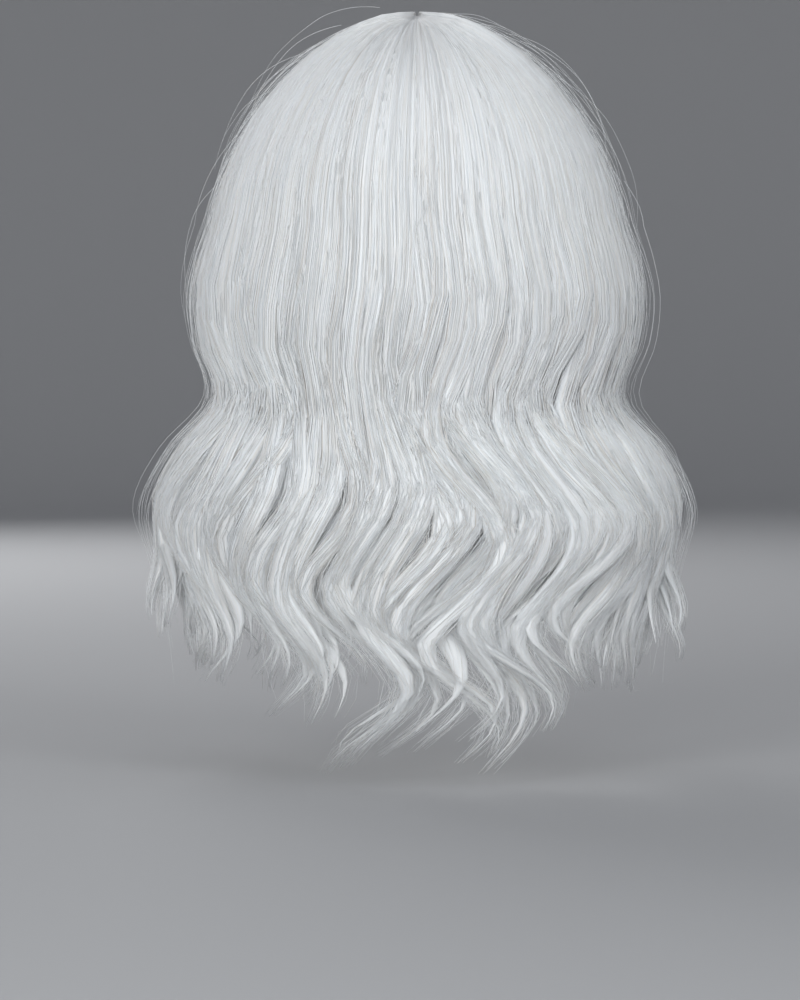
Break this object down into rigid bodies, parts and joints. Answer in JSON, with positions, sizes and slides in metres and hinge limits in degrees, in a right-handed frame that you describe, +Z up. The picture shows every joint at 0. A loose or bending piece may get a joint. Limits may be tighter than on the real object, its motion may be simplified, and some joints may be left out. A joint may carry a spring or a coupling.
{
  "type": "short wavy wig with a centre parting",
  "caption": "White shoulder-length wavy wig with a centre parting, on a hollow cap, held as on a head.",
  "frame": {"origin": "inside top of the cap, where the wig sits on a head", "axes": "+Z up, -Y towards the face, +Y towards the nape, +X towards the wearer's left"},
  "size_m": [0.3067, 0.2207, 0.3931],
  "materials": {
    "hair": "soft white synthetic fibre",
    "cap_net": "open weft net",
    "parting_skin": "matt knotted strip"
  },
  "bodies": {
    "root": {"cap": "cap_net", "parting_strip": "parting_skin", "lock_left_1": "hair", "lock_left_2": "hair", "lock_left_3": "hair", "lock_left_4": "hair", "lock_left_5": "hair", "lock_back_1": "hair", "lock_back_2": "hair", "lock_back_3": "hair", "lock_back_4": "hair", "lock_back_5": "hair", "lock_back_6": "hair", "lock_back_7": "hair", "lock_back_8": "hair", "lock_back_9": "hair", "lock_back_10": "hair", "lock_right_5": "hair", "lock_right_4": "hair", "lock_right_3": "hair", "lock_right_2": "hair", "lock_right_1": "hair", "under_1": "hair", "under_2": "hair", "under_3": "hair", "under_4": "hair", "under_5": "hair", "under_6": "hair", "under_7": "hair", "under_8": "hair"}
  },
  "joints": []
}
